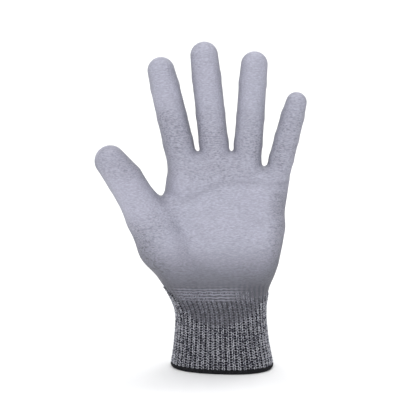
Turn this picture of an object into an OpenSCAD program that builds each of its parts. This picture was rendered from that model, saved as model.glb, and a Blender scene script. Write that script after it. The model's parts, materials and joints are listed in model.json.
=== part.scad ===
// Cut resistant work glove, left hand, filled out as it is on a hand and standing on its hem.
// Millimetres. +Z runs from the hem to the fingertips, the palm faces -Y and the thumb points to -X.
// The origin is the centre of the cuff opening, in the plane that the hem stands on.

/* [Fabric] */
// Thickness of the knitted liner
knit_wall = 1.3; // [1:0.1:1.6]
// Thickness of the coating film on the palm side
coat_wall = 0.5; // [0.3:0.1:0.7]
// How far the film wraps past the middle of each side towards the back
coat_wrap = 2; // [0:0.5:4]
// How far the film reaches down the back of each fingertip
tip_wrap = 9; // [6:0.5:12]

/* [Hem and cuff] */
// Height of the black binding around the hem
hem_height = 4; // [3:0.5:5]
// How far the binding stands proud of the cuff
hem_proud = 0.8; // [0.5:0.1:1.2]
// Lowest point of the coating film on the cuff
coat_bottom = 36; // [33:0.5:40]
// Number of elastic threads laid in the cuff
elastic_count = 8; // [4:1:9]
// Thickness of an elastic thread
elastic_size = 0.7; // [0.4:0.1:1]
// Height of the lowest elastic thread
elastic_low = 10; // [6:1:14]
// Height of the highest elastic thread
elastic_high = 38; // [26:1:40]
// Height of the wrist's bending line
wrist_height = 49; // [47:0.5:51]

/* [Bending] */
// How far the cuff bends at the wrist, each way
wrist_bend = 35; // [20:1:40]
// How far a finger bends forward at its root
root_bend = 65; // [40:1:70]
// How far a finger bends backward at its root
root_back = 12; // [5:1:15]
// How far a finger bends at its middle joint
middle_bend = 80; // [50:1:85]
// How far a finger bends at its end joint
end_bend = 50; // [30:1:55]
// How far the thumb bends at its root
thumb_root_bend = 31; // [30:1:50]
// How far the thumb bends at its end joint
thumb_end_bend = 45; // [40:1:60]
// Free play left between two neighbouring sleeves
joint_gap = 0.25; // [0.2:0.05:0.4]

/* [Hidden] */
// Each finger: name, x and z of its root, sideways lean, heights of its three joints and its tip above the root,
// radii at those four heights, how far each joint is bent forward at rest
FINGERS = [
    ["index",  -31,   160.5, -12.9, [8.5, 27.5, 50, 72],   [10.8, 10.8, 10.6, 9.9], [2, 4, 4]],
    ["middle",  -5.6, 160.5,  -6.2, [8.5, 29.5, 56, 82],   [10.6, 10.6, 10.6, 10],  [2, 4, 5]],
    ["ring",    18.9, 159,     3.9, [8.5, 28, 53, 76.3],   [10.3, 10.3, 10.1, 9.6], [2, 5, 5]],
    ["little",  42.5, 150,    13.9, [6.5, 22, 39, 57],     [9, 8.8, 8.4, 7.3],      [2, 5, 6]]
];
// The thumb: position of its root, sideways lean, forward lean, heights of its joints and tip, radii, how far the end
// is bent forward and sideways at rest, how far the joint axes are turned about the thumb
THUMB = ["thumb", [-60, -10, 118], -30, 8, [7, 27, 54.3], [13.8, 13.2, 11.2], 9, -8, 42];
// Share of a finger's lean that its joint axes lean by
axis_share = 0.5;
SEGMENTS = ["base", "middle", "tip"];
THUMB_SEGMENTS = ["base", "tip"];
LAYERS = ["liner", "coating"];

// Outline of the cuff and palm: height, left, right, front, back, and how far the oval is turned
OUTLINE = [
    [0,    -37.6, 37.6, -26.5, 25,   -10],
    [4,    -37.6, 37.6, -26.5, 25,   -10],
    [12,   -36.2, 36,   -25.5, 24,   -9],
    [22,   -35.1, 34.2, -24,   23,   -7],
    [36,   -33.9, 32.6, -22.5, 22,   -4],
    [46,   -36.2, 32.6, -22.5, 21,   -2],
    [56,   -39.8, 34.2, -23.5, 20,   0],
    [66,   -41.5, 37.2, -24.5, 19.5, 0],
    [78,   -42.5, 41.8, -24,   19,   0],
    [92,   -44,   45,   -21.5, 18,   0],
    [108,  -44.5, 47,   -18.5, 17,   0],
    [122,  -44,   47.8, -16,   15.5, 0],
    [134,  -42.5, 48.5, -14,   14,   0],
    [144,  -40.5, 48,   -12.3, 12.5, 0],
    [149,  -38,   44,   -10,   10.5, 0]
];
// Balls that the ball of the thumb and its web are drawn over: x, y, z, radius
THENAR = [[-24, -7, 60, 16], [-46, -9, 93, 18.5], [-57, -10, 111, 14.6]];
WEB = [[-56, -9, 114.5, 11.5], [-34, -1, 117.6, 11.2]];
// Depth below the fork of the balls that join two finger roots
FORK_DEPTH = 10.6;
// Heights between which the palm's liner is divided into heel, palm and knuckles
PALM_BANDS = [0, 86, 106, 200];
oval_points = 48;
oval_power = 2.3;
ball_facets = 28;
big = 130;

// ---- Shapes shared by the sub-parts ----

function sign_power(v, p) = sign(v) * pow(abs(v), p);

// One ring of the cuff and palm outline, drawn in by inset
function oval_ring(row, inset) =
    let (cx = (row[1] + row[2]) / 2, cy = (row[3] + row[4]) / 2,
         a = (row[2] - row[1]) / 2 - inset, b = (row[4] - row[3]) / 2 - inset)
    [for (i = [0 : oval_points - 1])
        let (t = 360 * i / oval_points,
             x = a * sign_power(cos(t), 2 / oval_power), y = b * sign_power(sin(t), 2 / oval_power))
        [cx + x * cos(row[5]) - y * sin(row[5]), cy + x * sin(row[5]) + y * cos(row[5]), row[0]]];

function flat(ring) = [for (p = ring) [p[0], p[1]]];

// Solid through a stack of rings
module loft(rows, inset) {
    n = oval_points;
    rings = [for (r = rows) oval_ring(r, inset)];
    sides = [for (k = [0 : len(rows) - 2], i = [0 : n - 1])
        let (a = k * n + i, b = k * n + (i + 1) % n)
        each [[a, a + n, b], [b, a + n, b + n]]];
    bottom = [[for (i = [0 : n - 1]) i]];
    top = [[for (i = [n - 1 : -1 : 0]) (len(rows) - 1) * n + i]];
    polyhedron([for (r = rings) each r], concat(bottom, sides, top), convexity = 4);
}

function rows_from(low) = [for (r = OUTLINE) if (r[0] >= low) r];
function rows_to(high) = [for (r = OUTLINE) if (r[0] <= high) r];

// The same ring at another height
function moved(row, by) = [row[0] + by, row[1], row[2], row[3], row[4], row[5]];

module ball(p, inset) translate([p[0], p[1], p[2]]) sphere(r = p[3] - inset, $fn = ball_facets);

module chain(balls, inset)
    for (i = [0 : len(balls) - 2]) hull() { ball(balls[i], inset); ball(balls[i + 1], inset); }

// Slab above, or below, a bending line along X: it falls away at palm degrees in front and back degrees behind
module above(palm, back) rotate([90, 0, 90]) linear_extrude(2 * big, center = true)
    polygon([[0, joint_gap], [big, joint_gap + big * tan(back)], [big, 2 * big],
             [-big, 2 * big], [-big, joint_gap + big * tan(palm)]]);
module below(palm, back) mirror([0, 0, 1]) above(palm, back);

// ---- Finger frames ----

function root_lean(f) = f[3] * axis_share;
function tube_lean(f) = f[3] * (1 - axis_share);
function palm_half(s) = [root_bend, middle_bend, end_bend][s] / 2;
function back_half(s) = s == 0 ? root_back / 2 : 0;

module joint_frame(f, s) {
    if (s == 0)
        translate([f[1] + sin(f[3]) * f[4][0], 0, f[2] + cos(f[3]) * f[4][0]])
            rotate([0, root_lean(f), 0]) rotate([f[6][0], 0, 0]) children();
    else
        joint_frame(f, s - 1)
            rotate([0, tube_lean(f), 0]) translate([0, 0, f[4][s] - f[4][s - 1]]) rotate([0, -tube_lean(f), 0])
                rotate([f[6][s], 0, 0]) children();
}

// Round sleeve from radius r0 to r1 over a length, with a closed round end where round_end is true
function dome(r, length, steps = 7) =
    [for (i = [1 : steps]) let (a = 90 * i / steps) [i == steps ? 0 : r * cos(a), length - r + r * sin(a)]];
module sleeve(r0, r1, length, round_end, start = -14) rotate_extrude($fn = 48)
    polygon(concat([[0, start], [r0, start], [r0, 0]],
                   round_end ? concat([[r1, length - r1]], dome(r1, length)) : [[r1, length], [r1, length + 14], [0, length + 14]]));

module finger_sleeve(f, s, inset) rotate([0, tube_lean(f), 0])
    sleeve(f[5][s] - inset, f[5][s + 1] - inset,
           (s == 2 ? -inset : 0) + f[4][s + 1] - f[4][s], s == 2);

module finger_zone(f, s) {
    intersection() {
        children();
        above(palm_half(s), back_half(s));
        if (s < 2) rotate([0, tube_lean(f), 0]) translate([0, 0, f[4][s + 1] - f[4][s]])
            rotate([0, -tube_lean(f), 0]) rotate([f[6][s + 1], 0, 0]) below(palm_half(s + 1), 0);
    }
}

// Space in front of the film's edge, and past the tip wrap on an end sleeve
module film_side(length, is_tip) {
    translate([-big, coat_wrap - 2 * big, -big]) cube([2 * big, 2 * big, 3 * big]);
    if (is_tip) translate([-big, -big, length - tip_wrap]) cube(2 * big);
}

// ---- Sub-parts ----

module finger_liner(f, s) color([0.45, 0.46, 0.5]) joint_frame(f, s) finger_zone(f, s) difference() {
    finger_sleeve(f, s, 0);
    finger_sleeve(f, s, coat_wall + knit_wall);
    finger_film(f, s);
}

module finger_film(f, s) difference() {
    intersection() {
        finger_sleeve(f, s, 0);
        rotate([0, tube_lean(f), 0]) film_side(f[4][s + 1] - f[4][s], s == 2);
    }
    finger_sleeve(f, s, coat_wall);
}

module finger_coating(f, s) color([0.72, 0.73, 0.79]) joint_frame(f, s) finger_zone(f, s) finger_film(f, s);

module thumb_frame(s) {
    if (s == 0)
        translate(THUMB[1]) rotate([THUMB[3], THUMB[2], 0]) translate([0, 0, THUMB[4][0]]) children();
    else
        thumb_frame(0) translate([0, 0, THUMB[4][1] - THUMB[4][0]]) rotate([THUMB[6], THUMB[7], 0]) children();
}

module thumb_sleeve(s, inset)
    sleeve(THUMB[5][s] - inset, THUMB[5][s + 1] - inset,
           (s == 1 ? -inset : 0) + THUMB[4][s + 1] - THUMB[4][s], s == 1);

module thumb_zone(s) intersection() {
    children();
    rotate([0, 0, THUMB[8]]) above([thumb_root_bend, thumb_end_bend][s] / 2, 0);
    if (s == 0) translate([0, 0, THUMB[4][1] - THUMB[4][0]]) rotate([THUMB[6], THUMB[7], 0])
        rotate([0, 0, THUMB[8]]) below(thumb_end_bend / 2, 0);
}

module thumb_film(s) difference() {
    intersection() {
        thumb_sleeve(s, 0);
        film_side(THUMB[4][s + 1] - THUMB[4][s], s == 1);
    }
    thumb_sleeve(s, coat_wall);
}

module thumb_liner(s) color([0.45, 0.46, 0.5]) thumb_frame(s) thumb_zone(s) difference() {
    thumb_sleeve(s, 0);
    thumb_sleeve(s, coat_wall + knit_wall);
    thumb_film(s);
}

module thumb_coating(s) color([0.72, 0.73, 0.79]) thumb_frame(s) thumb_zone(s) thumb_film(s);

// Everything that the palm is drawn over, drawn in by inset
module palm_body(inset) {
    palm_rows = rows_from(40);
    last = len(palm_rows) - 1;
    loft([for (i = [0 : last]) moved(palm_rows[i], i == last ? -inset : i == 0 && inset > 0 ? -1 : 0)], inset);
    for (i = [0 : 2]) hull() for (f = [FINGERS[i], FINGERS[i + 1]]) {
        fork = min(FINGERS[i][2], FINGERS[i + 1][2]) - FORK_DEPTH;
        translate([f[1] + (fork - f[2]) * tan(f[3]), 0, fork]) sphere(r = f[5][0] - inset, $fn = ball_facets);
    }
    for (f = FINGERS) intersection() {
        translate([f[1], 0, f[2]]) rotate([0, f[3], 0]) translate([0, 0, -FORK_DEPTH])
            cylinder(r = f[5][0] - inset, h = FORK_DEPTH + f[4][0] + 6, $fn = 40);
        joint_frame(f, 0) below(palm_half(0), back_half(0));
    }
    intersection() {
        union() {
            chain(THENAR, inset);
            chain(WEB, inset);
            translate(THUMB[1]) rotate([THUMB[3], THUMB[2], 0]) translate([0, 0, -8])
                cylinder(r = THUMB[5][0] - inset, h = 22, $fn = 40);
        }
        thumb_frame(0) rotate([0, 0, THUMB[8]]) below(thumb_root_bend / 2, 0);
    }
}

// The palm's cavity runs on past the ends of the finger stalls
module palm_cavity(inset) {
    palm_body(inset);
    for (f = FINGERS) translate([f[1], 0, f[2]]) rotate([0, f[3], 0]) translate([0, 0, -FORK_DEPTH])
        cylinder(r = f[5][0] - inset, h = FORK_DEPTH + 26, $fn = 40);
    translate(THUMB[1]) rotate([THUMB[3], THUMB[2], 0]) translate([0, 0, -8])
        cylinder(r = THUMB[5][0] - inset, h = 26, $fn = 40);
}

module wrist_end_above() translate([0, 0, wrist_height]) above(wrist_bend / 2, wrist_bend / 2);
module wrist_end_below() translate([0, 0, wrist_height]) below(wrist_bend / 2, wrist_bend / 2);
module front_space() translate([-big, coat_wrap - big, 0]) cube([2 * big, big, 2 * big]);

module palm_band(i) color([0.45, 0.46, 0.5]) difference() {
    intersection() {
        union() {
            palm_body(coat_wall);
            difference() { palm_body(0); front_space(); }
        }
        wrist_end_above();
        translate([-big, -big, PALM_BANDS[i]]) cube([2 * big, 2 * big, PALM_BANDS[i + 1] - PALM_BANDS[i]]);
    }
    palm_cavity(coat_wall + knit_wall);
}

module heel_liner() palm_band(0);
module palm_liner() palm_band(1);
module knuckle_liner() palm_band(2);

module palm_film() difference() {
    intersection() { palm_body(0); front_space(); }
    palm_cavity(coat_wall);
}

module palm_coating() color([0.72, 0.73, 0.79]) intersection() { palm_film(); wrist_end_above(); }

module cuff_solid(inset, extra) loft(concat([moved(OUTLINE[0], -extra)], rows_to(56)), inset);

module cuff_film() difference() {
    intersection() { cuff_solid(0, 0); front_space(); translate([-big, -big, coat_bottom]) cube(2 * big); }
    cuff_solid(coat_wall, 1);
}

module wrist_coating() color([0.5, 0.5, 0.55]) intersection() { cuff_film(); wrist_end_below(); }

module rib_cuff() color([0.3, 0.3, 0.34]) intersection() {
    difference() {
        cuff_solid(0, 0);
        cuff_solid(coat_wall + knit_wall, 1);
        cuff_film();
    }
    translate([-big, -big, hem_height / 3]) cube(2 * big);
    wrist_end_below();
}

module hem_ring(low, high, outer, inner) translate([0, 0, low]) linear_extrude(high - low) difference() {
    polygon(flat(oval_ring(OUTLINE[0], outer)));
    polygon(flat(oval_ring(OUTLINE[0], inner)));
}

module hem_binding() color([0.03, 0.03, 0.03]) {
    cuff_inner = coat_wall + knit_wall;
    union() {
        hem_ring(0, hem_height / 3, -hem_proud, cuff_inner + hem_proud);
        hem_ring(hem_height / 3, hem_height, -hem_proud, 0);
        hem_ring(hem_height / 3, hem_height, cuff_inner, cuff_inner + hem_proud);
    }
}

module elastic_threads() color([0.85, 0.85, 0.82]) difference() {
    intersection() {
        cuff_solid(coat_wall + knit_wall, 0);
        union() for (i = [0 : elastic_count - 1])
            translate([-big, -big, elastic_low + (elastic_high - elastic_low) * i / (elastic_count - 1)])
                cube([2 * big, 2 * big, elastic_size]);
    }
    cuff_solid(coat_wall + knit_wall + elastic_size, 1);
}

hem_binding();
rib_cuff();
elastic_threads();
wrist_coating();
heel_liner();
palm_liner();
knuckle_liner();
palm_coating();
for (f = FINGERS, s = [0 : 2]) {
    finger_liner(f, s);
    finger_coating(f, s);
}
for (s = [0 : 1]) {
    thumb_liner(s);
    thumb_coating(s);
}
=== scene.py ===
"""Left-hand cut resistant work glove.

A knitted liner, a smooth film dipped over its palm side, a rib cuff and a bound hem. Lengths are in millimetres
until a mesh is made, unless a name or comment says otherwise.
"""
import json
import math

import bpy
import numpy as np
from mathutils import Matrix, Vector


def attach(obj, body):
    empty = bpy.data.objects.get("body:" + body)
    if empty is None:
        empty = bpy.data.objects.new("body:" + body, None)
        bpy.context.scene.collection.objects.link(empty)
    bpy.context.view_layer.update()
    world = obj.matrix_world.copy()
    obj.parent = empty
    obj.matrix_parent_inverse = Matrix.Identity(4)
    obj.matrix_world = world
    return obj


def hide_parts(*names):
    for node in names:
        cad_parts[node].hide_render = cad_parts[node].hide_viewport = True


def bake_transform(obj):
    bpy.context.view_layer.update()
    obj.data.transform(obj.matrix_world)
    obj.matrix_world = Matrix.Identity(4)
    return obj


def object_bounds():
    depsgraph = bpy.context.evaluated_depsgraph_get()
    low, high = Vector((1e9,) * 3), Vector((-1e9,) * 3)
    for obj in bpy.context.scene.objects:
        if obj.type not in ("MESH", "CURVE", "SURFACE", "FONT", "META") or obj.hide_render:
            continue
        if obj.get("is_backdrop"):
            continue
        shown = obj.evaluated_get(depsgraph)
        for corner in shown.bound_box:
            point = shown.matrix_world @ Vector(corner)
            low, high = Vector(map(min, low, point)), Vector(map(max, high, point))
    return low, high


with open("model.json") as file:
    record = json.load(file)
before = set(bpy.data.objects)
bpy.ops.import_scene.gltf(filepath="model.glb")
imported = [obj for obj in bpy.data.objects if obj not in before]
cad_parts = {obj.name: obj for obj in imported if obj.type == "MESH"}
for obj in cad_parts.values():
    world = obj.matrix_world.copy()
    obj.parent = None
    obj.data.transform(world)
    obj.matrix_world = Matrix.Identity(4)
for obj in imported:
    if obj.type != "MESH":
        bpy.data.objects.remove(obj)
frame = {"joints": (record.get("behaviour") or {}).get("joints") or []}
CAD_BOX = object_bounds()

bl_info = {
    "name": "Dipped Work Glove",
    "version": (1, 0, 0),
    "blender": (4, 5, 0),
    "location": "3D View > Sidebar > Glove",
    "description": "Builds a knitted work glove with a dipped palm around its packed frame",
    "category": "Object",
}

MM = 0.001
JOINTS = {j["name"]: j for j in frame["joints"]}
TAU = 2 * math.pi

# Heights and reaches
HEM_LINE = 0.9           # the skin starts here, inside the binding
FIRST_RIB, LAST_RIB = 4.3, 63.5
FIRST_BACK_ROW, LAST_BACK_ROW = 61.2, 172
THUMB_SOFTNESS, FINGER_SOFTNESS = 7.0, 2.9
FRAY = 0.25              # how far the back's stitches reach under the film's edge
ROW_PITCH = 0.0021       # rows of the knit that show through the film, in metres


# ---------------------------------------------------------------- settings

def length(name, description, default, low, high):
    """A length setting, given in millimetres."""
    return bpy.props.FloatProperty(name=name, description=description, default=default * MM,
                                   min=low * MM, max=high * MM, unit="LENGTH")


def colour(name, description, default):
    return bpy.props.FloatVectorProperty(name=name, description=description, subtype="COLOR", size=3,
                                         default=default, min=0, max=1)


class GloveSurface(bpy.types.PropertyGroup):
    """Sizes of the glove's form, film and liner"""
    cell: length("Mesh cell", "Spacing of the surface mesh", 0.9, 0.7, 2)
    film: length("Film", "How far the dipped film stands on the knit", 0.4, 0.2, 0.7)
    wall: length("Liner wall", "Thickness of the knitted liner", 1.3, 0.8, 1.6)
    crease: length("Crease depth", "Depth of the main folds across the palm", 1.1, 0, 1.5)


class GloveKnit(bpy.types.PropertyGroup):
    """Sizes of the knitted stitches"""
    ribs: bpy.props.IntProperty(name="Ribs", description="Raised ribs around the cuff",
                                default=52, min=30, max=80)
    rib_course: length("Rib course", "Height of one row of rib stitches", 1.9, 1.2, 3)
    wale: length("Wale", "Width of one plain stitch on the back", 2.0, 1.4, 3)
    course: length("Course", "Height of one row of plain stitches on the back", 1.6, 1.1, 3)
    hem_wraps: bpy.props.IntProperty(name="Hem wraps", description="Thread wraps around the hem",
                                     default=104, min=60, max=160)
    seed: bpy.props.IntProperty(name="Seed", description="Seed of the yarn's light and dark stitches",
                                default=7)


class GloveColours(bpy.types.PropertyGroup):
    """Colours of the film, yarns and threads"""
    film: colour("Film", "Colour of the dipped film", (0.38, 0.382, 0.455))
    yarn_light: colour("Light yarn", "Light strand of the marled yarn", (0.54, 0.545, 0.60))
    yarn_dark: colour("Dark yarn", "Dark strand of the marled yarn", (0.030, 0.030, 0.050))
    hem: colour("Hem thread", "Colour of the binding thread", (0.008, 0.008, 0.010))


# ---------------------------------------------------------------- the hand's form

def unit(v):
    v = np.asarray(v, float)
    return v / np.linalg.norm(v)


def turned(v, axis, degrees):
    a = math.radians(degrees)
    k = unit(axis)
    return v * math.cos(a) + np.cross(k, v) * math.sin(a) + k * (k @ v) * (1 - math.cos(a))


def smoothstep(t):
    t = np.clip(t, 0, 1)
    return t * t * (3 - 2 * t)


def smooth_min(a, b, k):
    h = np.clip(0.5 + 0.5 * (b - a) / k, 0, 1)
    return b + (a - b) * h - k * h * (1 - h)


def round_cone(p, a, b, ra, rb):
    """Distance to the hull of two balls."""
    ba = b - a
    l2 = ba @ ba
    rr = ra - rb
    a2 = max(l2 - rr * rr, 1e-9)
    pa = p - a
    y = pa @ ba
    z = y - l2
    x2 = ((pa * l2 - y[..., None] * ba) ** 2).sum(-1)
    y2, z2 = y * y * l2, z * z * l2
    k = np.sign(rr) * rr * rr * x2
    side = (np.sqrt(x2 * a2 / l2) + y * rr) / l2 - ra
    top = np.sqrt(x2 + z2) / l2 - rb
    low = np.sqrt(x2 + y2) / l2 - ra
    return np.where(np.sign(z) * a2 * z2 > k, top, np.where(np.sign(y) * a2 * y2 < k, low, side))


# How far each digit's skin sits off its centre line
SHIFTS = {"index": (0.2, 0, 0), "middle": (0.15, 0, 0), "ring": (-0.2, 0, 0), "little": (-0.25, 0, 0),
          "thumb": (2.4, 0, 0.9)}


class Digit:
    """A finger or the thumb: its centre line through its joints, and where it is divided and blended."""

    def __init__(self, name, parts, heights, tip, radii, first_cut, end_bend, squeeze):
        self.name, self.parts, self.radii, self.squeeze = name, parts, radii, squeeze
        self.heights = heights
        labels = ["root", "middle", "end"] if len(parts) == 3 else ["root", "end"]
        joints = [JOINTS[f"{name}_{l}_bend"] for l in labels]
        self.hinges = [np.array(j["pos_m"]) / MM for j in joints]
        self.axes = [unit(j["axis"]) for j in joints]
        first = unit(self.hinges[1] - self.hinges[0])
        self.rise = unit([first[0], 0 if len(parts) == 3 else first[1], first[2]])
        self.root = self.hinges[0] - self.rise * heights[0]
        runs = [unit(b - a) for a, b in zip(self.hinges, self.hinges[1:])]
        last = turned(runs[-1], self.axes[-1], end_bend[0])
        last = unit(last + np.array([end_bend[1], 0, 0]))
        self.runs = runs + [last]
        self.tip = self.hinges[-1] + last * (tip - heights[-1])
        self.tip_height = tip
        self.first_cut = first_cut
        self.shift = np.array(SHIFTS[name])
        self.softness = THUMB_SOFTNESS if name == "thumb" else FINGER_SOFTNESS
        self.points = [self.root - self.rise * 12] + self.hinges + [self.tip - last * radii[-1]]
        self.ball_radii = [radii[0]] + list(radii)

    def distance(self, p):
        s = np.array([1, self.squeeze, 1])
        d = None
        q = (p - self.shift) * s
        for a, b, ra, rb in zip(self.points, self.points[1:], self.ball_radii, self.ball_radii[1:]):
            e = round_cone(q, a * s, b * s, ra, rb)
            d = e if d is None else smooth_min(d, e, 1.2)
        return d

    def centre(self, height):
        """Point on the centre line at a height above the root, and the direction there."""
        stops = [-20, 0] + list(self.heights) + [self.tip_height]
        pts = [self.root - self.rise * 20, self.root] + list(self.hinges) + [self.tip]
        dirs = [self.rise, self.rise] + list(self.runs)
        pos = np.stack([np.interp(height, stops, [q[i] for q in pts]) for i in range(3)], -1)
        mids = [(a + b) / 2 for a, b in zip(stops, stops[1:])]
        run = np.stack([np.interp(height, mids, [q[i] for q in dirs]) for i in range(3)], -1)
        return pos, run / np.linalg.norm(run, axis=-1, keepdims=True)

    def zones(self):
        """For each joint: the plane the region starts at, and the blend's start and end."""
        h = self.heights
        out = []
        if len(self.parts) == 3:
            half_middle = min(10.5, 0.5 * (h[1] - h[0]) + 0.6)
            half_end = 0.66 * self.radii[2]
            meet = h[1] - half_middle
            mean = [self.runs[0], unit(self.runs[0] + self.runs[1]), unit(self.runs[1] + self.runs[2])]
            at = self.hinges[0]
            out.append((self.root + self.rise * self.first_cut, self.rise,
                        at - mean[0] * (h[0] - self.first_cut), at + mean[0] * (meet - h[0])))
            start = self.hinges[1] - mean[1] * half_middle
            out.append((start, mean[1], start, self.hinges[1] + mean[1] * half_middle))
            start = self.hinges[2] - mean[2] * half_end
            out.append((start - mean[2], mean[2], start, self.hinges[2] + mean[2] * half_end))
        else:
            tilt, half = math.radians(40), 7.4
            lean = unit([-math.sin(tilt), self.runs[0][1], math.cos(tilt)])
            start = self.hinges[0] - lean * half
            out.append((start, lean, start, self.hinges[0] + lean * half))
            mean = unit(self.runs[0] + self.runs[1])
            start = self.hinges[1] - mean * 9
            out.append((start, mean, start, self.hinges[1] + mean * 9))
        return out


FINGERS = ["index", "middle", "ring", "little"]
THREE = ("base", "middle", "tip")
DIGITS = [
    Digit("index", THREE, (8.5, 27.5, 50), 72, (10.8, 10.6, 10.2, 9.5), 1.5, (5, 0), 1.06),
    Digit("middle", THREE, (8.5, 29.5, 56), 82, (10.4, 10.3, 10.2, 9.6), 1.5, (5, 0), 1.06),
    Digit("ring", THREE, (8.5, 28, 53), 76.3, (10.0, 9.9, 9.7, 9.3), 1.5, (5, 0), 1.06),
    Digit("little", THREE, (6.5, 22, 39), 57, (8.7, 8.6, 8.2, 7.2), 0.6, (6, 0), 1.06),
    Digit("thumb", ("base", "tip"), (7, 27), 55.6, (13.4, 12.8, 11.0), 0, (3, -0.20), 1.0),
]

# Cuff and palm outline: height, left, right, front, back, turn of the oval in degrees
OUTLINE = np.array([
    [-6, -37.5, 37.5, -26.8, 25.3, -10],
    [4, -37.2, 37.2, -26.5, 25, -10],
    [12, -35.8, 35.5, -25.5, 24, -9],
    [22, -34.7, 33.7, -24, 23, -7],
    [36, -33.6, 32.2, -22.5, 22, -4],
    [46, -34.7, 32.1, -22.5, 21, -2],
    [56, -36.6, 33.6, -23, 20, 0],
    [66, -41.4, 36.6, -23, 19.5, 0],
    [78, -42.5, 41.2, -22, 19, 0],
    [92, -44, 43.5, -19.5, 18, 0],
    [108, -44.5, 45.0, -17, 17, 0],
    [122, -43.4, 46.6, -15, 15.5, 0],
    [134, -41.9, 46.5, -13.5, 14, 0],
    [144, -40.1, 45.2, -12, 12.5, 0],
    [156, -38, 44, -10.5, 11, 0]], float)
OVAL = 2.3
PALM_TOP = 149.0


def outline_at(z):
    """The outline's numbers at any height, with its corners eased."""
    fine = np.arange(-6, 156.1, 0.5)
    if not hasattr(outline_at, "table"):
        cols = []
        for c in range(1, 6):
            v = np.interp(fine, OUTLINE[:, 0], OUTLINE[:, c])
            kernel = np.hanning(21)
            kernel /= kernel.sum()
            padded = np.concatenate([np.full(10, v[0]), v, np.full(10, v[-1])])
            cols.append(np.convolve(padded, kernel, "valid"))
        outline_at.table = cols
    return [np.interp(z, fine, c) for c in outline_at.table]


def trunk(p):
    """Distance to the cuff and palm."""
    z = p[..., 2]
    left, right, front, back, turn = outline_at(z)
    cx, cy = (left + right) / 2, (front + back) / 2
    a, b = (right - left) / 2, (back - front) / 2
    c, s = np.cos(np.radians(turn)), np.sin(np.radians(turn))
    x, y = p[..., 0] - cx, p[..., 1] - cy
    u, v = np.abs(x * c + y * s) / a + 1e-6, np.abs(-x * s + y * c) / b + 1e-6
    g = (u ** OVAL + v ** OVAL) ** (1 / OVAL)
    slope = g ** (1 - OVAL) * np.sqrt((u ** (OVAL - 1) / a) ** 2 + (v ** (OVAL - 1) / b) ** 2)
    side = (g - 1) / np.maximum(slope, 1e-4)
    side = np.maximum(side, -np.minimum(a, b))
    top = z - PALM_TOP
    k = 7
    h = np.clip(0.5 - 0.5 * (top - side) / k, 0, 1)
    return top + (side - top) * h + k * h * (1 - h)


def soft_parts():
    """Balls and bridges drawn over the palm: points, radii, and how softly each melts in."""
    by = {d.name: d for d in DIGITS}
    v = lambda *a: np.array(a, float)
    out = [
        (v(-22, -6, 62), v(-43.4, -9.4, 93), 16.3, 17.0, 7),
        (v(-43.4, -9.4, 93), v(-54.4, -10, 111), 17.0, 13.6, 7),
        (v(-55, -9, 115), v(-33, -1, 118), 11.5, 10.8, 7),
        (v(25, -8, 76), v(35, -4.5, 106), 11, 9.5, 8),
        (v(-28.4, -4, 137), v(-28.4, -4, 141), 10, 10, 6),
        (v(35, -3, 132), v(36, -3, 134), 10.5, 10.5, 7),
    ]
    for a, b in zip(FINGERS, FINGERS[1:]):
        fa, fb = by[a], by[b]
        low = min(fa.root[2], fb.root[2]) - {"index": 9.4, "middle": 7.4, "ring": 8.7}[a]
        pa = fa.root + fa.rise * ((low - fa.root[2]) / fa.rise[2])
        pb = fb.root + fb.rise * ((low - fb.root[2]) / fb.rise[2])
        out.append((pa, pb, fa.radii[0] - 0.4, fb.radii[0] - 0.4, 3.2))
    return out


SOFT = soft_parts()


def field(p):
    """Signed distance to the glove's outer form, negative inside."""
    d = trunk(p)
    for a, b, ra, rb, k in SOFT:
        d = smooth_min(d, round_cone(p, a, b, ra, rb), k)
    for g in DIGITS:
        d = smooth_min(d, g.distance(p), g.softness)
    return d


def gradient(p, step=0.25):
    k = np.array([[1, -1, -1], [-1, -1, 1], [-1, 1, -1], [1, 1, 1]], float)
    n = sum(e * field(p + e * step)[..., None] for e in k)
    return n / np.maximum(np.linalg.norm(n, axis=-1, keepdims=True), 1e-9)


def onto_form(p, rounds=2):
    """Moves points onto the form's surface."""
    for _ in range(rounds):
        p = p - gradient(p) * field(p)[..., None]
    return p


def grid_field(lo, hi, h):
    """The form's field on a grid, each part worked out only near itself."""
    axes = [np.arange(lo[i], hi[i] + h, h) for i in range(3)]
    shape = [len(a) for a in axes]
    total = np.full(shape, 30.0, np.float32)
    parts = [(np.array([-50, -34, -8]), np.array([54, 34, 158]), trunk, None)]
    for a, b, ra, rb, k in SOFT:
        r = max(ra, rb) + k + 3
        parts.append((np.minimum(a, b) - r, np.maximum(a, b) + r,
                      lambda q, a=a, b=b, ra=ra, rb=rb: round_cone(q, a, b, ra, rb), k))
    for g in DIGITS:
        pts = np.array(g.points)
        r = max(g.radii) + g.softness + 3
        parts.append((pts.min(0) - r, pts.max(0) + r, g.distance, g.softness))
    for plo, phi, fn, k in parts:
        cut = [slice(max(0, int((plo[i] - lo[i]) / h)), min(shape[i], int((phi[i] - lo[i]) / h) + 2))
               for i in range(3)]
        q = np.stack(np.meshgrid(*[axes[i][cut[i]] for i in range(3)], indexing="ij"), -1)
        d = fn(q)
        old = total[tuple(cut)]
        total[tuple(cut)] = np.minimum(old, d) if k is None else smooth_min(old, d, k)
    return total, axes


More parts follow.
